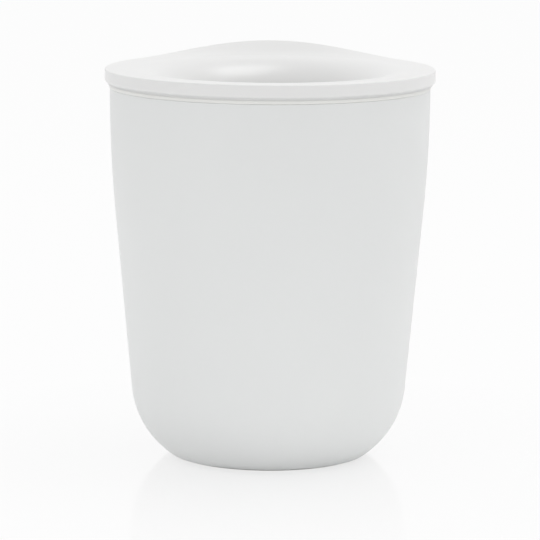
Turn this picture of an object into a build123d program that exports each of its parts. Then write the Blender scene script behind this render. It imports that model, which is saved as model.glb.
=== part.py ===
from build123d import *
import os
from math import asin, cos, degrees, hypot, radians, sin

# Double-walled desk cup for pens, with a lift-off mouth collar.
# All sizes in millimetres. The cup stands on Z = 0 with its axis on Z;
# the raised grip lip of the collar is at the back, on the +Y side.

# --- outer shell -----------------------------------------------------------
shell_top_radius = 43.15
shell_top_z = 100.2
shell_wall = 1.8
shell_floor = 2.2
underside_z = 0.5
wall_taper = 5.28            # degrees off vertical, lower straight wall
shoulder_arc_radius = 368.0  # gentle curve from vertical into the taper
straight_length = 48.2
corner_radius = 24.0
push_up_radius = 16.0
push_up_depth = 0.6
shell_edge_round = 0.25

# --- foot ring -------------------------------------------------------------
foot_outer_radius = 25.1
foot_inner_radius = 19.0
foot_thickness = 1.3
foot_side_gap = 0.05
foot_edge_round = 0.2

# --- inner liner -----------------------------------------------------------
liner_bore_radius = 39.0
liner_wall = 1.6
liner_rim_radius = 43.35
liner_rim_height = 1.0
liner_straight_bottom_z = 91.5
liner_base_radius = 31.3
liner_floor_z = 8.0
liner_corner_radius = 14.0
locating_rib_radius = 41.2
locating_rib_bottom_z = 96.4
rim_edge_round = 0.2

# --- mouth collar ----------------------------------------------------------
ledge_z = 105.3
collar_radius = 44.5
collar_wall = 1.8
collar_under_z = 101.75
shoulder_land_radius = 43.7
mouth_radius = 24.0
mouth_roll_radius = 12.83    # wide rounded funnel from the ledge into the mouth
mouth_rise = 0.03            # the round would peak this far above the ledge
mouth_forward = 2.0          # the mouth sits off centre, away from the grip lip
skirt_outer_radius = 38.7
skirt_wall = 1.8
skirt_bottom_z = 92.5
crest_height = 3.45
crest_hollow_radius = 9.7
crest_edge_width = 0.6
crest_half_width = 38.0
collar_edge_round = 0.35
collar_under_round = 0.6
crest_inner_round = 0.2
skirt_edge_round = 0.5

# --- grip ring -------------------------------------------------------------
groove_bottom_z = 94.6
groove_height = 2.4
groove_depth = 0.95
ring_bulge_radius = 38.95
ring_seat_gap = 0.05
ring_edge_round = 0.5

liner_rim_top_z = shell_top_z + liner_rim_height
trim_reach = 60.0


def wall_curve(inset, end_z):
    """Draw one face of the shell wall from its top edge down to end_z, inset from the outside."""
    shoulder = JernArc(
        start=(shell_top_radius - inset, shell_top_z),
        tangent=(0, -1),
        radius=shoulder_arc_radius - inset,
        arc_size=-wall_taper,
    )
    taper = PolarLine(
        start=shoulder @ 1,
        length=straight_length,
        direction=shoulder % 1,
    )
    bend_radius = corner_radius - inset
    bend_centre_z = (taper @ 1).Y + bend_radius * sin(radians(wall_taper))
    bend_end = degrees(asin((bend_centre_z - end_z) / bend_radius))
    return JernArc(
        start=taper @ 1,
        tangent=taper % 1,
        radius=bend_radius,
        arc_size=wall_taper - bend_end,
    )


def on_radius(edge, radius):
    """Tell whether the middle of an edge lies at the given distance from the cup's axis."""
    middle = edge.position_at(0.5)
    turned = edge.geom_type in (GeomType.CIRCLE, GeomType.BSPLINE)
    return turned and abs(hypot(middle.X, middle.Y) - radius) < 0.01


os.makedirs("parts", exist_ok=True)

# Outer shell: a thin tapered casing with a generous round into the base.
with BuildPart() as outer_shell:
    with BuildSketch(Plane.XZ):
        with BuildLine():
            outside = wall_curve(0, underside_z)
            Polyline(
                outside @ 1,
                (0, underside_z),
                (0, shell_top_z),
                (shell_top_radius, shell_top_z),
            )
        make_face()
    revolve(axis=Axis.Z)
    with BuildSketch(Plane.XZ):
        with BuildLine():
            inside = wall_curve(shell_wall, underside_z + shell_floor)
            Polyline(
                inside @ 1,
                (0, underside_z + shell_floor),
                (0, shell_top_z),
                (shell_top_radius - shell_wall, shell_top_z),
            )
        make_face()
    revolve(axis=Axis.Z, mode=Mode.SUBTRACT)
    top_edges = outer_shell.edges().group_by(Axis.Z)[-1]
    fillet(top_edges.sort_by(SortBy.RADIUS)[-1], radius=shell_edge_round)
    # Groove that holds the foot ring, and the shallow push-up inside it.
    with BuildSketch(Plane.XY.offset(underside_z)):
        Circle(foot_outer_radius + foot_side_gap)
        Circle(foot_inner_radius - foot_side_gap, mode=Mode.SUBTRACT)
    extrude(amount=foot_thickness - underside_z, mode=Mode.SUBTRACT)
    with BuildSketch(Plane.XY.offset(underside_z)):
        Circle(push_up_radius)
    extrude(amount=push_up_depth, taper=30, mode=Mode.SUBTRACT)

# Foot ring: a flat non-slip ring, half a millimetre proud of the underside.
with BuildPart() as foot_ring:
    with BuildSketch(Plane.XY):
        Circle(foot_outer_radius)
        Circle(foot_inner_radius, mode=Mode.SUBTRACT)
    extrude(amount=foot_thickness)
    fillet(foot_ring.edges().group_by(Axis.Z)[0], radius=foot_edge_round)

# Inner liner: the cup the pens stand in, hung from a rim on the shell's edge.
with BuildPart() as inner_liner:
    with BuildSketch(Plane.XZ) as liner_section:
        Polygon(
            (0, liner_floor_z - liner_wall),
            (liner_base_radius + liner_wall, liner_floor_z - liner_wall),
            (liner_bore_radius + liner_wall, liner_straight_bottom_z),
            (liner_bore_radius + liner_wall, locating_rib_bottom_z),
            (locating_rib_radius, locating_rib_bottom_z),
            (locating_rib_radius, shell_top_z),
            (liner_rim_radius, shell_top_z),
            (liner_rim_radius, liner_rim_top_z),
            (0, liner_rim_top_z),
            align=None,
        )
        base_corner = liner_section.vertices().group_by(Axis.Y)[0].sort_by(Axis.X)[-1]
        fillet(base_corner, radius=liner_corner_radius + liner_wall)
        rim_corners = liner_section.vertices().group_by(Axis.X)[-1]
        fillet(rim_corners, radius=rim_edge_round)
    revolve(axis=Axis.Z)
    with BuildSketch(Plane.XZ) as bore_section:
        Polygon(
            (0, liner_floor_z),
            (liner_base_radius, liner_floor_z),
            (liner_bore_radius, liner_straight_bottom_z),
            (liner_bore_radius, liner_rim_top_z),
            (0, liner_rim_top_z),
            align=None,
        )
        floor_corner = bore_section.vertices().group_by(Axis.Y)[0].sort_by(Axis.X)[-1]
        fillet(floor_corner, radius=liner_corner_radius)
    revolve(axis=Axis.Z, mode=Mode.SUBTRACT)

# Mouth collar: overhanging rim, flat ledge, funnel mouth and a skirt that
# drops into the liner. The ledge sweeps up to a grip lip at the back.
mouth_axis = Axis((0, -mouth_forward, 0), (0, 0, 1))
mouth_plane = Plane.XZ.offset(mouth_forward)
roll_centre_r = mouth_radius + mouth_roll_radius
roll_centre_z = ledge_z + mouth_rise - mouth_roll_radius
plate_under_z = ledge_z - collar_wall
crest_inner_radius = collar_radius - crest_edge_width
crest_top_z = ledge_z + crest_height
hollow_turn = degrees(asin((crest_hollow_radius - crest_height) / crest_hollow_radius))
hollow_start_radius = crest_inner_radius - crest_hollow_radius * cos(radians(hollow_turn))

with BuildPart() as top_collar:
    with BuildSketch(Plane.XZ):
        with BuildLine():
            Polyline(
                (hollow_start_radius, ledge_z),
                (0, ledge_z),
                (0, plate_under_z),
                (skirt_outer_radius - skirt_wall, plate_under_z),
                (skirt_outer_radius - skirt_wall, skirt_bottom_z),
                (skirt_outer_radius, skirt_bottom_z),
                (skirt_outer_radius, groove_bottom_z),
                (skirt_outer_radius - groove_depth, groove_bottom_z),
                (skirt_outer_radius - groove_depth, groove_bottom_z + groove_height),
                (skirt_outer_radius, groove_bottom_z + groove_height),
                (skirt_outer_radius, liner_rim_top_z),
                (shoulder_land_radius, liner_rim_top_z),
                (shoulder_land_radius, collar_under_z),
                (collar_radius, collar_under_z),
                (collar_radius, crest_top_z),
                (crest_inner_radius, crest_top_z),
            )
            CenterArc(
                (hollow_start_radius, ledge_z + crest_hollow_radius),
                crest_hollow_radius,
                -90,
                90 - hollow_turn,
            )
        make_face()
    revolve(axis=Axis.Z)
    # Add a plug with the outside form of the funnel, then open the mouth through it.
    with BuildSketch(mouth_plane):
        with BuildLine():
            CenterArc((roll_centre_r, roll_centre_z), mouth_roll_radius - collar_wall, 90, 90)
            Polyline(
                (mouth_radius + collar_wall, roll_centre_z),
                (0, roll_centre_z),
                (0, plate_under_z + mouth_rise),
                (roll_centre_r, plate_under_z + mouth_rise),
            )
        make_face()
    revolve(axis=mouth_axis)
    with BuildSketch(mouth_plane):
        with BuildLine():
            CenterArc((roll_centre_r, roll_centre_z), mouth_roll_radius, 90, 90)
            Polyline(
                (mouth_radius, roll_centre_z),
                (mouth_radius, roll_centre_z - collar_wall),
                (0, roll_centre_z - collar_wall),
                (0, ledge_z + mouth_rise),
                (roll_centre_r, ledge_z + mouth_rise),
            )
        make_face()
    revolve(axis=mouth_axis, mode=Mode.SUBTRACT)
    # Trim the front half level with the ledge.
    with BuildSketch(Plane.XY.offset(ledge_z)):
        Rectangle(2 * trim_reach, trim_reach, align=(Align.CENTER, Align.MAX))
    extrude(amount=2 * crest_height, mode=Mode.SUBTRACT)
    # Trim the back half to the swell of the grip lip.
    with BuildSketch(Plane.XZ):
        with BuildLine():
            Spline(
                (0, crest_top_z),
                (18.6, ledge_z + 2.0),
                (29.0, ledge_z + 0.65),
                (crest_half_width, ledge_z),
                tangents=[(1, 0), (1, 0)],
            )
            Polyline(
                (crest_half_width, ledge_z),
                (trim_reach, ledge_z),
                (trim_reach, ledge_z + 2 * crest_height),
                (0, ledge_z + 2 * crest_height),
                (0, crest_top_z),
            )
        make_face()
        mirror(about=Plane.YZ)
    extrude(amount=-trim_reach, mode=Mode.SUBTRACT)
    # Ease the rim's corners, the lip's crown and the hidden edges.
    rim_edges = top_collar.edges().filter_by(lambda edge: on_radius(edge, collar_radius))
    fillet(rim_edges.group_by(Axis.Z)[0], radius=collar_under_round)
    top_edges = top_collar.edges().filter_by(
        lambda edge: on_radius(edge, collar_radius) and edge.center().Z > ledge_z - 1
    )
    fillet(top_edges, radius=collar_edge_round)
    crown_edges = top_collar.edges().filter_by(lambda edge: on_radius(edge, crest_inner_radius))
    fillet(crown_edges, radius=crest_inner_round)
    hidden_edges = top_collar.edges().filter_by(
        lambda edge: edge.geom_type == GeomType.CIRCLE
        and abs(edge.center().Z - skirt_bottom_z) < 0.01
    )
    fillet(hidden_edges, radius=skirt_edge_round)

# Grip ring: soft band in the skirt groove that holds the collar in the liner.
with BuildPart() as grip_ring:
    with BuildSketch(Plane.XZ) as ring_section:
        Polygon(
            (skirt_outer_radius - groove_depth + ring_seat_gap, groove_bottom_z),
            (ring_bulge_radius, groove_bottom_z),
            (ring_bulge_radius, groove_bottom_z + groove_height),
            (skirt_outer_radius - groove_depth + ring_seat_gap, groove_bottom_z + groove_height),
            align=None,
        )
        bulge_corners = ring_section.vertices().group_by(Axis.X)[-1]
        fillet(bulge_corners, radius=ring_edge_round)
    revolve(axis=Axis.Z)

outer_shell.part.label = "outer_shell"
foot_ring.part.label = "foot_ring"
inner_liner.part.label = "inner_liner"
top_collar.part.label = "top_collar"
grip_ring.part.label = "grip_ring"

export_step(outer_shell.part, "parts/outer_shell.step")
export_step(foot_ring.part, "parts/foot_ring.step")
export_step(inner_liner.part, "parts/inner_liner.step")
export_step(top_collar.part, "parts/top_collar.step")
export_step(grip_ring.part, "parts/grip_ring.step")
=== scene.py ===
"""A white double-walled desk cup for pens, set on a pale studio sweep.

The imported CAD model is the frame. Each of its five pieces is dressed by a finer
turned skin of the same form, with moulded-plastic and soft-elastomer finishes.
"""

from __future__ import annotations

import logging
import math
from dataclasses import dataclass, field
from enum import Enum
from typing import Callable, ClassVar

import bmesh
import bpy
from mathutils import Matrix, Vector

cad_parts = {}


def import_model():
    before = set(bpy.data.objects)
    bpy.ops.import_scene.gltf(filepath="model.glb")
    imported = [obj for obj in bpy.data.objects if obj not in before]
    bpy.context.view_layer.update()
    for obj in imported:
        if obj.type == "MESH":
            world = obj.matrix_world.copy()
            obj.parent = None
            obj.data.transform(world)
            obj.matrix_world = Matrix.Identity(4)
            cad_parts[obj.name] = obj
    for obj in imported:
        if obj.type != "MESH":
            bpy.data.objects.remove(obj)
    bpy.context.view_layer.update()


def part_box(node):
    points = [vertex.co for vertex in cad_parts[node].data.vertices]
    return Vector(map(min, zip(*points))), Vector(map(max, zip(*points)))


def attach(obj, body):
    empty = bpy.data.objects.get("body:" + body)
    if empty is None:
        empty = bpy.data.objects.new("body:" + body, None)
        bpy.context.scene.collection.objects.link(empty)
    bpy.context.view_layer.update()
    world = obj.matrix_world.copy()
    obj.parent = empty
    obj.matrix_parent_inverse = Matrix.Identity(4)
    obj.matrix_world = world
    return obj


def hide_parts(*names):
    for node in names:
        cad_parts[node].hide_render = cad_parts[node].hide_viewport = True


LOG = logging.getLogger("desk_cup")
MM = 0.001
ON_AXIS = 0.001
JOINED = 0.01


class Body(Enum):
    """The two rigid bodies of the cup."""

    CUP = "cup"
    COLLAR = "collar"


class Slot(Enum):
    """Finish slots, one for each piece."""

    SHELL = "shell_plastic"
    LINER = "liner_plastic"
    COLLAR = "collar_plastic"
    FOOT = "foot_elastomer"
    GRIP = "grip_elastomer"


# --------------------------------------------------------------------------
# Node groups shared by the finishes
# --------------------------------------------------------------------------


class EffectGroup:
    """A node group with named inputs and outputs, built once and then reused."""

    title: ClassVar[str] = "Effect"
    inputs: ClassVar[dict[str, float]] = {}
    outputs: ClassVar[tuple[str, ...]] = ()

    @classmethod
    def get(cls) -> bpy.types.NodeTree:
        """Find or build the group.

        Returns:
            The shader node group.
        """
        found = bpy.data.node_groups.get(cls.title)
        return found if found else cls._create()

    @classmethod
    def _create(cls) -> bpy.types.NodeTree:
        """Create the sockets and let the subclass wire the inside.

        Returns:
            The finished node group.
        """
        tree = bpy.data.node_groups.new(cls.title, "ShaderNodeTree")
        face = tree.interface
        face.new_socket("Position", in_out="INPUT", socket_type="NodeSocketVector")
        for name, default in cls.inputs.items():
            socket = face.new_socket(name, in_out="INPUT", socket_type="NodeSocketFloat")
            socket.default_value = default
        for name in cls.outputs:
            face.new_socket(name, in_out="OUTPUT", socket_type="NodeSocketFloat")
        source = tree.nodes.new("NodeGroupInput")
        target = tree.nodes.new("NodeGroupOutput")
        cls.wire(tree, source, target)
        return tree

    @classmethod
    def wire(
        cls,
        tree: bpy.types.NodeTree,
        source: bpy.types.Node,
        target: bpy.types.Node,
    ) -> None:
        """Wire the inside of the group.

        Args:
            tree: The node group.
            source: Its input node.
            target: Its output node.
        """
        raise NotImplementedError


def feed(tree: bpy.types.NodeTree, value: object, socket: bpy.types.NodeSocket) -> None:
    """Give an input a link or a plain number.

    Args:
        tree: The node tree.
        value: A socket to link from, or a number.
        socket: The input to feed.
    """
    if isinstance(value, bpy.types.NodeSocket):
        tree.links.new(value, socket)
    else:
        socket.default_value = float(value)


def noise(
    tree: bpy.types.NodeTree,
    place: bpy.types.NodeSocket,
    scale: object,
    detail: float,
    roughness: object = 0.5,
) -> bpy.types.NodeSocket:
    """Add a noise texture.

    Args:
        tree: The node tree to add to.
        place: The position to look up.
        scale: Features per metre, a socket or a number.
        detail: Octaves of detail.
        roughness: Strength of the finer octaves, a socket or a number.

    Returns:
        The noise value.
    """
    node = tree.nodes.new("ShaderNodeTexNoise")
    node.inputs["Detail"].default_value = detail
    feed(tree, place, node.inputs["Vector"])
    feed(tree, scale, node.inputs["Scale"])
    feed(tree, roughness, node.inputs["Roughness"])
    return node.outputs["Fac"]


def maths(
    tree: bpy.types.NodeTree, operation: str, first: object, second: object
) -> bpy.types.NodeSocket:
    """Add a maths node.

    Args:
        tree: The node tree to add to.
        operation: The maths operation.
        first: A socket or a number.
        second: A socket or a number.

    Returns:
        The result socket.
    """
    node = tree.nodes.new("ShaderNodeMath")
    node.operation = operation
    feed(tree, first, node.inputs[0])
    feed(tree, second, node.inputs[1])
    return node.outputs[0]


def remap(
    tree: bpy.types.NodeTree,
    value: bpy.types.NodeSocket,
    source: tuple[float, float],
    target: tuple[float, float],
    smooth: bool = False,
) -> bpy.types.NodeSocket:
    """Map a value from one range to another, clamped.

    Args:
        tree: The node tree to add to.
        value: The value to map.
        source: Range that comes in.
        target: Range that goes out.
        smooth: Whether the ends of the range are eased.

    Returns:
        The mapped value.
    """
    node = tree.nodes.new("ShaderNodeMapRange")
    node.interpolation_type = "SMOOTHSTEP" if smooth else "LINEAR"
    tree.links.new(value, node.inputs["Value"])
    node.inputs["From Min"].default_value = source[0]
    node.inputs["From Max"].default_value = source[1]
    node.inputs["To Min"].default_value = target[0]
    node.inputs["To Max"].default_value = target[1]
    return node.outputs["Result"]


def backdrop_rays(tree: bpy.types.NodeTree) -> bpy.types.NodeSocket:
    """Find the rays that show the backdrop: seen directly, mirrored or through glass.

    Args:
        tree: The node tree to add to.

    Returns:
        One for those rays and zero for the rays that carry light.
    """
    path = tree.nodes.new("ShaderNodeLightPath").outputs
    mirrored = maths(tree, "MAXIMUM", path["Is Glossy Ray"], path["Is Transmission Ray"])
    return maths(tree, "MAXIMUM", path["Is Camera Ray"], mirrored)


class MouldGrain(EffectGroup):
    """Fine even texture that a blasted mould leaves on plastic."""

    title = "Mould grain"
    inputs = {"Cells per metre": 2600.0, "Softness": 0.5}
    outputs = ("Height", "Gloss shift")

    @classmethod
    def wire(
        cls,
        tree: bpy.types.NodeTree,
        source: bpy.types.Node,
        target: bpy.types.Node,
    ) -> None:
        """Wire the grain: fine pits over a slower ripple.

        Args:
            tree: The node group.
            source: Its input node.
            target: Its output node.
        """
        given = source.outputs
        place = given["Position"]
        pits = noise(tree, place, given["Cells per metre"], 3.0, given["Softness"])
        tree.links.new(pits, target.inputs["Height"])
        ripple = noise(tree, place, 60.0, 1.0)
        shift = remap(tree, ripple, (0.3, 0.7), (-1.0, 1.0))
        tree.links.new(shift, target.inputs["Gloss shift"])


class ToneDrift(EffectGroup):
    """Very slow change of tone across a moulding, with sparse paler flecks."""

    title = "Tone drift"
    inputs = {"Patches per metre": 22.0}
    outputs = ("Tone", "Flecks")

    @classmethod
    def wire(
        cls,
        tree: bpy.types.NodeTree,
        source: bpy.types.Node,
        target: bpy.types.Node,
    ) -> None:
        """Wire the drift and the flecks.

        Args:
            tree: The node group.
            source: Its input node.
            target: Its output node.
        """
        place = source.outputs["Position"]
        drift = noise(tree, place, source.outputs["Patches per metre"], 2.0, 0.4)
        tone = remap(tree, drift, (0.25, 0.75), (0.0, 1.0))
        tree.links.new(tone, target.inputs["Tone"])
        flecks = noise(tree, place, 900.0, 2.0, 0.7)
        mask = remap(tree, flecks, (0.66, 0.78), (0.0, 1.0))
        tree.links.new(mask, target.inputs["Flecks"])


class HandlingScuffs(EffectGroup):
    """Thin faint rub marks from handling, mostly running around the cup."""

    title = "Handling scuffs"
    inputs = {"Marks per metre": 240.0, "Coverage": 0.5}
    outputs = ("Mask",)
    stretch: ClassVar[tuple[float, float, float]] = (0.12, 0.12, 1.0)
    slant: ClassVar[tuple[float, float, float]] = (0.12, -0.08, 0.0)

    @classmethod
    def wire(
        cls,
        tree: bpy.types.NodeTree,
        source: bpy.types.Node,
        target: bpy.types.Node,
    ) -> None:
        """Wire long thin marks broken up by a patchy mask.

        Args:
            tree: The node group.
            source: Its input node.
            target: Its output node.
        """
        place = source.outputs["Position"]
        along = tree.nodes.new("ShaderNodeMapping")
        along.inputs["Scale"].default_value = cls.stretch
        along.inputs["Rotation"].default_value = cls.slant
        tree.links.new(place, along.inputs["Vector"])
        density = source.outputs["Marks per metre"]
        marks = noise(tree, along.outputs["Vector"], density, 6.0, 0.75)
        patches = noise(tree, place, 35.0, 2.0)
        thin = remap(tree, marks, (0.6, 0.72), (0.0, 1.0))
        patchy = remap(tree, patches, (0.45, 0.65), (0.0, 1.0))
        both = maths(tree, "MULTIPLY", thin, patchy)
        mask = maths(tree, "MULTIPLY", both, source.outputs["Coverage"])
        tree.links.new(mask, target.inputs["Mask"])


# --------------------------------------------------------------------------
# Finishes
# --------------------------------------------------------------------------


@dataclass(frozen=True)
class Plastic:
    """A moulded finish: base colour, gloss, grain, tone drift and light scuffs.

    Grain and scatter depths are in millimetres.
    """

    name: str
    colour: tuple[float, float, float]
    shade: tuple[float, float, float]
    roughness: float
    grain_depth: float
    grain_cells: float = 2600.0
    gloss_spread: float = 0.02
    specular: float = 0.5
    ior: float = 1.49
    sheen: float = 0.0
    scatter: float = 0.0
    scatter_depth: float = 1.2
    scatter_reach: tuple[float, float, float] = (1.0, 0.9, 0.8)
    scuff: float = 0.3
    scuff_dulling: float = 0.12
    fleck: float = 0.35
    fleck_gain: float = 1.04

    def build(self) -> bpy.types.Material:
        """Build the material.

        Returns:
            The finished material.
        """
        material = bpy.data.materials.new(self.name)
        material.use_nodes = True
        tree = material.node_tree
        shader = tree.nodes["Principled BSDF"].inputs
        place = tree.nodes.new("ShaderNodeTexCoord").outputs["Object"]
        grain = self._effect(tree, MouldGrain, place)
        grain.inputs["Cells per metre"].default_value = self.grain_cells
        drift = self._effect(tree, ToneDrift, place)
        scuffs = self._effect(tree, HandlingScuffs, place)
        scuffs.inputs["Coverage"].default_value = self.scuff

        tree.links.new(self._colour(tree, drift), shader["Base Color"])
        tree.links.new(self._gloss(tree, grain, scuffs), shader["Roughness"])
        bump = tree.nodes.new("ShaderNodeBump")
        bump.inputs["Distance"].default_value = self.grain_depth * MM
        bump.inputs["Strength"].default_value = 1.0
        tree.links.new(grain.outputs["Height"], bump.inputs["Height"])
        tree.links.new(bump.outputs["Normal"], shader["Normal"])

        shader["IOR"].default_value = self.ior
        shader["Specular IOR Level"].default_value = self.specular
        shader["Sheen Weight"].default_value = self.sheen
        if self.scatter:
            shader["Subsurface Weight"].default_value = self.scatter
            shader["Subsurface Radius"].default_value = self.scatter_reach
            shader["Subsurface Scale"].default_value = self.scatter_depth * MM
        return material

    def _colour(
        self, tree: bpy.types.NodeTree, drift: bpy.types.Node
    ) -> bpy.types.NodeSocket:
        """Blend the two tones and add the paler flecks.

        Args:
            tree: The material's node tree.
            drift: The tone drift effect.

        Returns:
            The base colour.
        """
        tint = tree.nodes.new("ShaderNodeMix")
        tint.data_type = "RGBA"
        tint.inputs["A"].default_value = (*self.shade, 1.0)
        tint.inputs["B"].default_value = (*self.colour, 1.0)
        tree.links.new(drift.outputs["Tone"], tint.inputs["Factor"])
        pale = tree.nodes.new("ShaderNodeMix")
        pale.data_type = "RGBA"
        light = [min(1.0, part * self.fleck_gain) for part in self.colour]
        pale.inputs["B"].default_value = (*light, 1.0)
        tree.links.new(tint.outputs["Result"], pale.inputs["A"])
        share = maths(tree, "MULTIPLY", drift.outputs["Flecks"], self.fleck)
        tree.links.new(share, pale.inputs["Factor"])
        return pale.outputs["Result"]

    def _gloss(
        self, tree: bpy.types.NodeTree, grain: bpy.types.Node, scuffs: bpy.types.Node
    ) -> bpy.types.NodeSocket:
        """Let the roughness wander and dull it where the piece is rubbed.

        Args:
            tree: The material's node tree.
            grain: The mould grain effect.
            scuffs: The handling scuffs effect.

        Returns:
            The roughness.
        """
        wander = maths(tree, "MULTIPLY", grain.outputs["Gloss shift"], self.gloss_spread)
        rubbed = maths(tree, "MULTIPLY", scuffs.outputs["Mask"], self.scuff_dulling)
        change = maths(tree, "ADD", wander, rubbed)
        return maths(tree, "ADD", change, self.roughness)

    @staticmethod
    def _effect(
        tree: bpy.types.NodeTree,
        kind: type[EffectGroup],
        place: bpy.types.NodeSocket,
    ) -> bpy.types.Node:
        """Add an effect group fed with the object position.

        Args:
            tree: The material's node tree.
            kind: Which effect to add.
            place: The object position.

        Returns:
            The group node.
        """
        node = tree.nodes.new("ShaderNodeGroup")
        node.node_tree = kind.get()
        tree.links.new(place, node.inputs["Position"])
        return node


FINISHES: dict[Slot, Plastic] = {
    Slot.SHELL: Plastic(
        name="Satin white casing",
        colour=(0.735, 0.745, 0.741),
        shade=(0.723, 0.733, 0.73),
        roughness=0.42,
        grain_depth=0.01,
        scuff=0.35,
    ),
    Slot.LINER: Plastic(
        name="Satin white liner",
        colour=(0.775, 0.775, 0.755),
        shade=(0.76, 0.76, 0.74),
        roughness=0.38,
        grain_depth=0.01,
        scuff=0.5,
    ),
    Slot.COLLAR: Plastic(
        name="Smooth white collar",
        colour=(0.752, 0.752, 0.748),
        shade=(0.742, 0.742, 0.737),
        roughness=0.295,
        grain_depth=0.004,
        gloss_spread=0.012,
        specular=0.66,
        scuff=0.15,
    ),
    Slot.FOOT: Plastic(
        name="Pale non-slip foot",
        colour=(0.62, 0.62, 0.60),
        shade=(0.57, 0.57, 0.55),
        roughness=0.75,
        grain_depth=0.03,
        grain_cells=1800.0,
        specular=0.3,
        sheen=0.15,
        scuff=0.8,
    ),
    Slot.GRIP: Plastic(
        name="Soft silicone grip",
        colour=(0.72, 0.72, 0.70),
        shade=(0.69, 0.69, 0.67),
        roughness=0.5,
        grain_depth=0.01,
        specular=0.4,
        sheen=0.1,
        scatter=0.3,
        scuff=0.6,
    ),
}


# --------------------------------------------------------------------------
# Turned skins
# --------------------------------------------------------------------------


class Section:
    """A half-section drawn as a chain of (radius, height) points in millimetres."""

    def __init__(self, radius: float, height: float) -> None:
        """Start the chain.

        Args:
            radius: Distance from the axis.
            height: Height above the table.
        """
        self.points: list[tuple[float, float]] = [(radius, height)]

    def line(self, radius: float, height: float, pitch: float = 2.0) -> Section:
        """Add a straight run.

        Args:
            radius: End distance from the axis.
            height: End height.
            pitch: Largest spacing of points along the run.

        Returns:
            The section, for chaining.
        """
        start_r, start_h = self.points[-1]
        length = math.hypot(radius - start_r, height - start_h)
        steps = max(1, math.ceil(length / pitch))
        for step in range(1, steps + 1):
            part = step / steps
            self.points.append(
                (start_r + (radius - start_r) * part, start_h + (height - start_h) * part)
            )
        return self

    def arc(
        self,
        centre: tuple[float, float],
        radius: float,
        start: float,
        end: float,
        steps: int = 8,
    ) -> Section:
        """Add an arc, joined to the chain by a straight run if it starts elsewhere.

        Args:
            centre: Centre of the arc.
            radius: Radius of the arc.
            start: Start angle in degrees.
            end: End angle in degrees.
            steps: Number of facets.

        Returns:
            The section, for chaining.
        """
        angles = [math.radians(start + (end - start) * i / steps) for i in range(steps + 1)]
        run = [
            (centre[0] + radius * math.cos(a), centre[1] + radius * math.sin(a))
            for a in angles
        ]
        if math.dist(run[0], self.points[-1]) >= JOINED:
            self.line(*run[0])
        self.points.extend(run[1:])
        return self


# Takes azimuth, radius and height; gives the shift to the front and the extra height.
Warp = Callable[[float, float, float], tuple[float, float]]


def turn_point(
    mesh: bmesh.types.BMesh,
    point: tuple[float, float],
    around: int,
    warp: Warp | None,
) -> list[bmesh.types.BMVert]:
    """Turn one point of a half-section into a ring.

    Args:
        mesh: The mesh to add to.
        point: Radius and height in millimetres.
        around: Number of facets around the axis.
        warp: Shift of the ring's points, if any.

    Returns:
        The ring's vertices, or a single one on the axis.
    """
    radius, height = point
    if radius < ON_AXIS:
        return [mesh.verts.new((0.0, 0.0, height * MM))]
    ring = []
    for index in range(around):
        angle = 2.0 * math.pi * index / around
        forward, extra = warp(angle, radius, height) if warp else (0.0, 0.0)
        across = radius * math.cos(angle)
        along = radius * math.sin(angle) - forward
        ring.append(mesh.verts.new((across * MM, along * MM, (height + extra) * MM)))
    return ring


def turned_mesh(
    name: str,
    section: Section,
    around: int,
    closed: bool,
    warp: Warp | None = None,
) -> bpy.types.Object:
    """Turn a half-section about the vertical axis.

    Args:
        name: Name of the new object.
        section: The half-section.
        around: Number of facets around the axis.
        closed: Whether the last point joins back to the first.
        warp: Shift towards the front and extra height, in millimetres, for
            (azimuth, radius, height).

    Returns:
        The new mesh object.
    """
    mesh = bmesh.new()
    rings = [turn_point(mesh, point, around, warp) for point in section.points]
    pairs = list(zip(rings, rings[1:]))
    if closed:
        pairs.append((rings[-1], rings[0]))
    for low, high in pairs:
        for index in range(around):
            after = (index + 1) % around
            corners = [
                low[index % len(low)],
                low[after % len(low)],
                high[after % len(high)],
                high[index % len(high)],
            ]
            unique = list(dict.fromkeys(corners))
            if len(unique) > 2:
                mesh.faces.new(unique)
    bmesh.ops.recalc_face_normals(mesh, faces=mesh.faces)
    data = bpy.data.meshes.new(name)
    mesh.to_mesh(data)
    mesh.free()
    data.shade_smooth()
    item = bpy.data.objects.new(name, data)
    bpy.context.scene.collection.objects.link(item)
    return item


@dataclass
class Piece:
    """One piece of the cup: a finer skin that stands for a CAD node.

    Sizes are in millimetres and angles in degrees, here and in every piece.
    """

    node: ClassVar[str] = ""
    body: ClassVar[Body] = Body.CUP
    slot: ClassVar[Slot] = Slot.SHELL
    around: int = 256

    def limits(self) -> tuple[float, float, float]:
        """Read the CAD node's size.

        Returns:
            Outer radius, lowest and highest height, in millimetres.
        """
        low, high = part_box(self.node)
        return high.x / MM, low.z / MM, high.z / MM

    def skin(self) -> bpy.types.Object:
        """Build the mesh.

        Returns:
            The new mesh object.
        """
        raise NotImplementedError

    def fit(self) -> None:
        """Build the piece, dress it and put it on its body."""
        item = self.skin()
        item.data.materials.append(FINISHES[self.slot].build())
        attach(item, self.body.value)
        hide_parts(self.node)
        LOG.info("fitted %s with %d faces", self.node, len(item.data.polygons))


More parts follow.
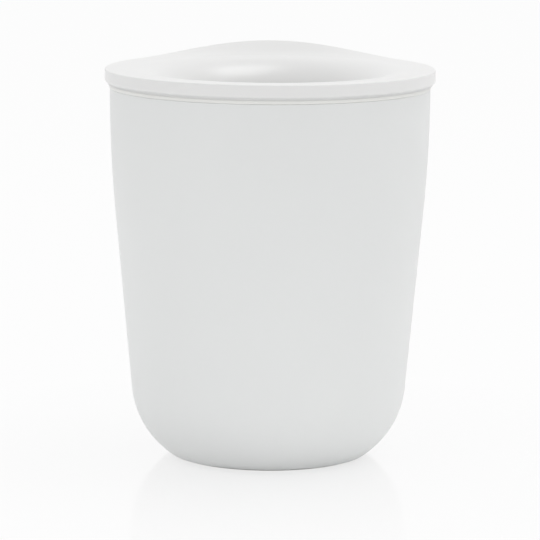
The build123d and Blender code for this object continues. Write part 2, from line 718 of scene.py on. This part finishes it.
@dataclass
class OuterShell(Piece):
    """The tapered casing, with a groove and a shallow push-up underneath."""

    node: ClassVar[str] = "outer_shell"
    wall: float = 1.8
    floor: float = 2.2
    taper: float = 5.28
    shoulder_radius: float = 368.0
    straight: float = 48.2
    corner: float = 24.0
    edge_round: float = 0.25
    groove_outer: float = 25.15
    groove_inner: float = 18.95
    groove_top: float = 1.3
    groove_flare: float = 0.3
    groove_flare_height: float = 0.15
    push_up: float = 16.0
    push_up_depth: float = 0.6
    push_up_slope: float = 0.4
    shoulder_steps: int = 16
    straight_steps: int = 24
    corner_steps: int = 32

    def _wall(self, inset: float, end: float) -> list[tuple[float, float]]:
        """Trace one face of the wall from the top edge down.

        Args:
            inset: Distance inside the outer face.
            end: Height at which the trace stops.

        Returns:
            Points from the top down.
        """
        radius, _, top = self.limits()
        turn = math.radians(self.taper)
        bend = self.shoulder_radius - inset
        rim = radius - inset
        points = []
        for step in range(self.shoulder_steps + 1):
            angle = turn * step / self.shoulder_steps
            points.append((rim - bend * (1 - math.cos(angle)), top - bend * math.sin(angle)))
        last_r, last_h = points[-1]
        for step in range(1, self.straight_steps + 1):
            run = self.straight * step / self.straight_steps
            points.append((last_r - run * math.sin(turn), last_h - run * math.cos(turn)))
        low_r, low_h = points[-1]
        corner = self.corner - inset
        centre = (low_r - corner * math.cos(turn), low_h + corner * math.sin(turn))
        finish = math.asin((centre[1] - end) / corner)
        for step in range(1, self.corner_steps + 1):
            angle = turn + (finish - turn) * step / self.corner_steps
            points.append(
                (centre[0] + corner * math.cos(angle), centre[1] - corner * math.sin(angle))
            )
        return points

    def skin(self) -> bpy.types.Object:
        """Build the casing.

        Returns:
            The new mesh object.
        """
        radius, under, top = self.limits()
        edge = self.edge_round
        outside = self._wall(0.0, under)[1:]
        section = Section(radius - self.wall, top)
        section.arc((radius - edge, top - edge), edge, 90, 0)
        section.points.extend(point for point in outside if point[1] < top - 2 * edge)
        section.line(self.groove_outer + self.groove_flare, under)
        section.line(self.groove_outer, under + self.groove_flare_height)
        section.line(self.groove_outer, self.groove_top)
        section.line(self.groove_inner, self.groove_top).line(self.groove_inner, under)
        dome = under + self.push_up_depth
        section.line(self.push_up, under).line(self.push_up - self.push_up_slope, dome)
        section.line(0.0, dome).line(0.0, under + self.floor)
        inside = self._wall(self.wall, under + self.floor)
        section.points.extend(reversed(inside))
        return turned_mesh("casing", section, self.around, closed=False)


@dataclass
class InnerLiner(Piece):
    """The inner cup; its rim shows as the thin band under the collar."""

    node: ClassVar[str] = "inner_liner"
    slot: ClassVar[Slot] = Slot.LINER
    bore: float = 39.0
    wall: float = 1.6
    rim_height: float = 1.0
    straight_bottom: float = 91.5
    base: float = 31.3
    floor: float = 8.0
    corner: float = 14.0
    rib: float = 41.2
    rib_bottom: float = 96.4
    edge_round: float = 0.2
    edge_steps: int = 5
    corner_steps: int = 20
    wall_pitch: float = 4.0
    bore_pitch: float = 3.0

    def _corner(self, inset: float) -> tuple[tuple[float, float], float, float]:
        """Find the rounded corner between wall and floor.

        Args:
            inset: Distance outside the bore face.

        Returns:
            Centre, radius and the angle below horizontal where the wall meets it.
        """
        lean = math.atan2(self.bore - self.base, self.straight_bottom - self.floor)
        radius = self.corner + inset
        height = self.floor - inset + radius
        wall = self.base + inset + (height - self.floor + inset) * math.tan(lean)
        centre = wall - radius / math.cos(lean)
        return (centre, height), radius, math.degrees(lean)

    def skin(self) -> bpy.types.Object:
        """Build the liner.

        Returns:
            The new mesh object.
        """
        rim, _, top = self.limits()
        seat = top - self.rim_height
        edge = self.edge_round
        fine = self.edge_steps
        outer = self.bore + self.wall
        low, low_radius, lean = self._corner(self.wall)
        floor, floor_radius, _ = self._corner(0.0)
        section = Section(0.0, low[1] - low_radius)
        section.arc(low, low_radius, -90, -lean, self.corner_steps)
        section.line(outer, self.straight_bottom, self.wall_pitch)
        section.line(outer, self.rib_bottom).line(self.rib, self.rib_bottom)
        section.line(self.rib, seat)
        section.arc((rim - edge, seat + edge), edge, -90, 0, fine)
        section.arc((rim - edge, top - edge), edge, 0, 90, fine)
        section.arc((self.bore + edge, top - edge), edge, 90, 180, fine)
        section.line(self.bore, self.straight_bottom, self.bore_pitch)
        start_r = floor[0] + floor_radius * math.cos(math.radians(lean))
        start_h = floor[1] - floor_radius * math.sin(math.radians(lean))
        section.line(start_r, start_h, self.wall_pitch)
        section.arc(floor, floor_radius, -lean, -90, self.corner_steps)
        section.line(0.0, self.floor, self.bore_pitch)
        return turned_mesh("liner", section, self.around, closed=False)


@dataclass
class FootRing(Piece):
    """The flat non-slip ring under the base."""

    node: ClassVar[str] = "foot_ring"
    slot: ClassVar[Slot] = Slot.FOOT
    inner: float = 19.0
    edge_round: float = 0.2
    edge_steps: int = 6
    face_pitch: float = 1.0

    def skin(self) -> bpy.types.Object:
        """Build the ring.

        Returns:
            The new mesh object.
        """
        outer, under, top = self.limits()
        edge = self.edge_round
        section = Section(self.inner + edge, under)
        section.line(outer - edge, under, self.face_pitch)
        section.arc((outer - edge, under + edge), edge, -90, 0, self.edge_steps)
        section.line(outer, top).line(self.inner, top, self.face_pitch)
        section.line(self.inner, under + edge)
        section.arc((self.inner + edge, under + edge), edge, 180, 270, self.edge_steps)
        section.points.pop()
        return turned_mesh("foot", section, self.around, closed=True)


@dataclass
class GripRing(Piece):
    """The soft ring in the collar's skirt."""

    node: ClassVar[str] = "grip_ring"
    body: ClassVar[Body] = Body.COLLAR
    slot: ClassVar[Slot] = Slot.GRIP
    inner: float = 37.8
    edge_round: float = 0.5

    def skin(self) -> bpy.types.Object:
        """Build the ring.

        Returns:
            The new mesh object.
        """
        outer, under, top = self.limits()
        edge = self.edge_round
        section = Section(self.inner, under)
        section.arc((outer - edge, under + edge), edge, -90, 0)
        section.arc((outer - edge, top - edge), edge, 0, 90)
        section.line(self.inner, top)
        return turned_mesh("grip", section, self.around, closed=True)


@dataclass
class TopCollar(Piece):
    """The lift-off collar: rim, ledge, funnel mouth, grip lip and skirt."""

    node: ClassVar[str] = "top_collar"
    body: ClassVar[Body] = Body.COLLAR
    slot: ClassVar[Slot] = Slot.COLLAR
    around: int = 384
    crest: float = 3.45
    rim_depth: float = 3.55
    wall: float = 1.8
    roll: float = 12.8
    roll_centre: float = 36.8
    mouth_forward: float = 2.0
    front_blend: float = 5.0
    under_blend: float = 4.0
    seat_drop: float = 4.1
    land: float = 43.7
    under_round: float = 0.7
    skirt: float = 38.7
    groove: tuple[float, float] = (94.6, 97.0)
    groove_depth: float = 0.95
    edge_round: float = 0.35
    skirt_round: float = 0.5
    crown_width: float = 0.6
    hollow_start: float = 34.5
    hollow_blend: float = 6.0
    crest_reach: float = 55.5
    climb_start: float = 1.0
    roll_steps: int = 56
    under_steps: int = 32
    low_edge_steps: int = 12
    skirt_edge_steps: int = 6
    ledge_pitch: float = 0.4
    crown_pitch: float = 0.08
    rim_pitch: float = 0.2
    skirt_pitch: float = 1.5

    def _swell(self, angle: float) -> float:
        """Height of the grip lip above the ledge at an azimuth.

        Args:
            angle: Azimuth in radians; the lip is centred at the back.

        Returns:
            Height in millimetres.
        """
        away = abs((math.degrees(angle) - 90.0 + 180.0) % 360.0 - 180.0)
        if away >= self.crest_reach:
            return 0.0
        return self.crest * 0.5 * (1.0 + math.cos(math.pi * away / self.crest_reach))

    def _share(self, radius: float, crown: float) -> float:
        """Share of the lip's height reached at a distance from the axis.

        Args:
            radius: Distance from the axis.
            crown: Distance from the axis of the lip's inner top edge.

        Returns:
            Share of the full height.
        """
        reach = min(radius, crown) - self.hollow_start
        if reach <= 0.0:
            return 0.0
        blend = self.hollow_blend
        rise = reach * reach / (2.0 * blend) if reach < blend else reach - blend / 2.0
        return rise / (crown - self.hollow_start - blend / 2.0)

    def _forward(self, radius: float, height: float, ledge: float) -> float:
        """Shift of a point towards the front, which sets the mouth off centre.

        Args:
            radius: Distance from the axis.
            height: Height above the table.
            ledge: Height of the ledge.

        Returns:
            Shift in millimetres.
        """
        if radius >= self.roll_centre:
            if height < ledge - self.wall * 0.5:
                return 0.0
            part = 1.0 - (radius - self.roll_centre) / self.front_blend
        else:
            depth = math.hypot(radius - self.roll_centre, height - ledge + self.roll)
            if depth > self.roll - self.wall * 0.5:
                return self.mouth_forward
            part = (self.skirt - self.wall - radius) / self.under_blend
        return self.mouth_forward * min(1.0, max(0.0, part))

    def skin(self) -> bpy.types.Object:
        """Build the collar.

        Returns:
            The new mesh object.
        """
        rim, bottom, top = self.limits()
        ledge = top - self.crest
        under = ledge - self.rim_depth
        seat = ledge - self.seat_drop
        crown = rim - self.crown_width
        edge = self.edge_round
        low_edge = self.under_round
        mouth = self.roll_centre - self.roll
        centre = (self.roll_centre, ledge - self.roll)
        back = self.wall * 0.5
        lip = centre[1] + back

        def warp(angle: float, radius: float, height: float) -> tuple[float, float]:
            """Shift the mouth forwards and raise the back of the rim.

            Args:
                angle: Azimuth in radians.
                radius: Distance from the axis.
                height: Height above the table.

            Returns:
                Shift towards the front and extra height, in millimetres.
            """
            forward = self._forward(radius, height, ledge)
            across = radius * math.cos(angle)
            along = radius * math.sin(angle) - forward
            base = under + self.climb_start
            climb = min(1.0, max(0.0, (height - base) / (ledge - edge - base)))
            share = self._share(math.hypot(across, along), crown)
            return forward, self._swell(math.atan2(along, across)) * share * climb

        start = 180.0 - math.degrees(math.asin(back / self.roll))
        section = Section(mouth, lip)
        section.arc(centre, self.roll, start, 90, self.roll_steps)
        section.line(crown, ledge, self.ledge_pitch)
        section.line(rim - edge, ledge, self.crown_pitch)
        section.arc((rim - edge, ledge - edge), edge, 90, 0)
        section.line(rim, under + low_edge, self.rim_pitch)
        section.arc((rim - low_edge, under + low_edge), low_edge, 0, -90, self.low_edge_steps)
        section.line(self.land, under).line(self.land, seat)

        low, high = self.groove
        deep = self.skirt - self.groove_depth
        section.line(self.skirt, seat).line(self.skirt, high)
        section.line(deep, high).line(deep, low).line(self.skirt, low)
        inner = self.skirt - self.wall
        soft = self.skirt_round
        turn = bottom + soft
        section.line(self.skirt, turn)
        section.arc((self.skirt - soft, turn), soft, 0, -90, self.skirt_edge_steps)
        section.arc((inner + soft, turn), soft, -90, -180, self.skirt_edge_steps)

        under_roll = self.roll - self.wall
        meet = math.acos((inner - centre[0]) / under_roll)
        section.line(inner, centre[1] + under_roll * math.sin(meet), self.skirt_pitch)
        section.arc(centre, under_roll, math.degrees(meet), start, self.under_steps)
        section.line(mouth + self.wall, lip)
        section.arc((mouth + back, lip), back, 0, -180, self.low_edge_steps)
        section.points.pop()
        return turned_mesh("collar", section, self.around, closed=True, warp=warp)


# --------------------------------------------------------------------------
# Studio
# --------------------------------------------------------------------------


@dataclass
class Camera:
    """A long-lens product camera a little above the rim.

    Distance and height are in metres, angles in degrees, lens and sensor in millimetres.
    """

    distance: float = 1.00928
    height: float = 0.2064
    pitch: float = 8.79
    roll: float = 0.35
    lens: float = 250.9
    sensor: float = 36.0
    shift: float = 0.0018
    far_clip: float = 50.0

    def place(self) -> None:
        """Add the camera and make it the active one."""
        data = bpy.data.cameras.new("Product camera")
        data.lens = self.lens
        data.sensor_width = self.sensor
        data.shift_x = self.shift
        data.clip_end = self.far_clip
        item = bpy.data.objects.new("Product camera", data)
        bpy.context.scene.collection.objects.link(item)
        tilt = Matrix.Rotation(math.radians(90.0 - self.pitch), 4, "X")
        lean = Matrix.Rotation(math.radians(self.roll), 4, "Z")
        item.matrix_world = (
            Matrix.Translation((0.0, -self.distance, self.height)) @ tilt @ lean
        )
        bpy.context.scene.camera = item


@dataclass
class Softbox:
    """A square soft light aimed at the cup, with a grid if its spread is narrow.

    Lengths are in metres, power in watts and spread in degrees.
    """

    name: str
    place: tuple[float, float, float]
    size: float
    power: float
    spread: float = 180.0
    target: tuple[float, float, float] = (0.0, 0.0, 0.06)

    def hang(self) -> None:
        """Add the light to the scene."""
        data = bpy.data.lights.new(self.name, "AREA")
        data.shape = "SQUARE"
        data.size = self.size
        data.energy = self.power
        data.spread = math.radians(self.spread)
        item = bpy.data.objects.new(self.name, data)
        bpy.context.scene.collection.objects.link(item)
        item.location = self.place
        aim = Vector(self.target) - Vector(self.place)
        item.rotation_mode = "QUATERNION"
        item.rotation_quaternion = aim.to_track_quat("-Z", "Y")


@dataclass
class Studio:
    """Pale floor, soft surround and softboxes."""

    horizon: float = 1.055
    zenith: float = 0.5
    wall_top: float = 0.55
    floor_colour: tuple[float, float, float] = (0.98, 0.98, 0.98)
    floor_reach: float = 4.0
    floor_cells: int = 8
    floor_roughness: float = 0.1
    floor_drift: float = 0.01
    floor_clouds: float = 3.0
    floor_gloss: float = 0.1
    backdrop_white: float = 0.985
    glow_share: float = 0.9
    shine_share: float = 0.177
    shine_tone: float = 0.88
    shine_near: float = 0.028
    shine_far: float = 0.12
    shine_rest: float = 0.25
    lights: list[Softbox] = field(
        default_factory=lambda: [
            Softbox("Top softbox", (0.32, 0.14, 1.3), 0.7, 4.2),
            Softbox("Low left fill", (-0.8, -0.7, 0.17), 0.2, 0.011, 12.0, (0.0, 0.0, -0.02)),
            Softbox("Low right fill", (0.8, -0.7, 0.17), 0.2, 0.009, 12.0, (0.0, 0.0, -0.02)),
        ]
    )

    def _world(self) -> None:
        """Light the room evenly, like a white tent."""
        world = bpy.data.worlds.new("White tent")
        bpy.context.scene.world = world
        world.use_nodes = True
        tree = world.node_tree
        back = tree.nodes["Background"]
        back.inputs["Color"].default_value = (1.0, 1.0, 1.0, 1.0)
        aim = tree.nodes.new("ShaderNodeTexCoord").outputs["Generated"]
        parts = tree.nodes.new("ShaderNodeSeparateXYZ")
        tree.links.new(aim, parts.inputs[0])
        level = remap(
            tree,
            parts.outputs["Z"],
            (self.wall_top, 1.0),
            (self.horizon, self.zenith),
            smooth=True,
        )
        both = tree.nodes.new("ShaderNodeMix")
        tree.links.new(backdrop_rays(tree), both.inputs["Factor"])
        tree.links.new(level, both.inputs["A"])
        calm = maths(tree, "MINIMUM", level, self.backdrop_white)
        tree.links.new(calm, both.inputs["B"])
        tree.links.new(both.outputs["Result"], back.inputs["Strength"])

    def _floor(self) -> None:
        """Lay the floor sheet."""
        mesh = bmesh.new()
        cells = self.floor_cells
        bmesh.ops.create_grid(mesh, x_segments=cells, y_segments=cells, size=self.floor_reach)
        data = bpy.data.meshes.new("acrylic_sheet")
        mesh.to_mesh(data)
        mesh.free()
        data.materials.append(self._acrylic())
        floor = bpy.data.objects.new("acrylic_sheet", data)
        bpy.context.scene.collection.objects.link(floor)

    def _acrylic(self) -> bpy.types.Material:
        """Build smooth white acrylic: it glows to the eye and mirrors softly near the cup.

        Returns:
            The floor's material.
        """
        material = bpy.data.materials.new("White acrylic")
        material.use_nodes = True
        tree = material.node_tree
        shader = tree.nodes["Principled BSDF"]
        shader.inputs["Base Color"].default_value = (*self.floor_colour, 1.0)
        shader.inputs["Specular IOR Level"].default_value = self.floor_gloss
        place = tree.nodes.new("ShaderNodeTexCoord").outputs["Object"]
        clouds = noise(tree, place, self.floor_clouds, 2.0)
        low = self.floor_roughness - self.floor_drift
        high = self.floor_roughness + self.floor_drift
        spread = remap(tree, clouds, (0.3, 0.7), (low, high))
        tree.links.new(spread, shader.inputs["Roughness"])
        shine = tree.nodes.new("ShaderNodeBsdfGlossy")
        shine.inputs["Color"].default_value = (*[self.shine_tone] * 3, 1.0)
        tree.links.new(spread, shine.inputs["Roughness"])
        glow = tree.nodes.new("ShaderNodeEmission")
        glow.inputs["Strength"].default_value = self.backdrop_white
        away = tree.nodes.new("ShaderNodeVectorMath")
        away.operation = "LENGTH"
        tree.links.new(place, away.inputs[0])
        polish = remap(
            tree,
            away.outputs["Value"],
            (self.shine_near, self.shine_far),
            (self.shine_share, self.shine_share * self.shine_rest),
        )
        seen = backdrop_rays(tree)
        under = shader.outputs["BSDF"]
        for top, share in ((glow, self.glow_share), (shine, polish)):
            mix = tree.nodes.new("ShaderNodeMixShader")
            tree.links.new(maths(tree, "MULTIPLY", seen, share), mix.inputs[0])
            tree.links.new(under, mix.inputs[1])
            tree.links.new(top.outputs[0], mix.inputs[2])
            under = mix.outputs[0]
        tree.links.new(under, tree.nodes["Material Output"].inputs["Surface"])
        return material

    def build(self) -> None:
        """Build floor, surround and lights."""
        self._world()
        self._floor()
        for light in self.lights:
            light.hang()
        bpy.context.scene.view_settings.view_transform = "Standard"


def corners(bounds: tuple[Vector, Vector]) -> list[list[float]]:
    """Turn a pair of corners into plain lists.

    Args:
        bounds: Lowest and highest corner.

    Returns:
        The same numbers as nested lists.
    """
    return [[float(value) for value in corner] for corner in bounds]


def main() -> None:
    """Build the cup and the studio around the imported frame."""
    logging.basicConfig(level=logging.INFO, format="%(message)s")
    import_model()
    for piece in (OuterShell(), InnerLiner(), FootRing(), TopCollar(), GripRing()):
        piece.fit()
    Studio().build()
    Camera().place()


if __name__ == "__main__":
    main()
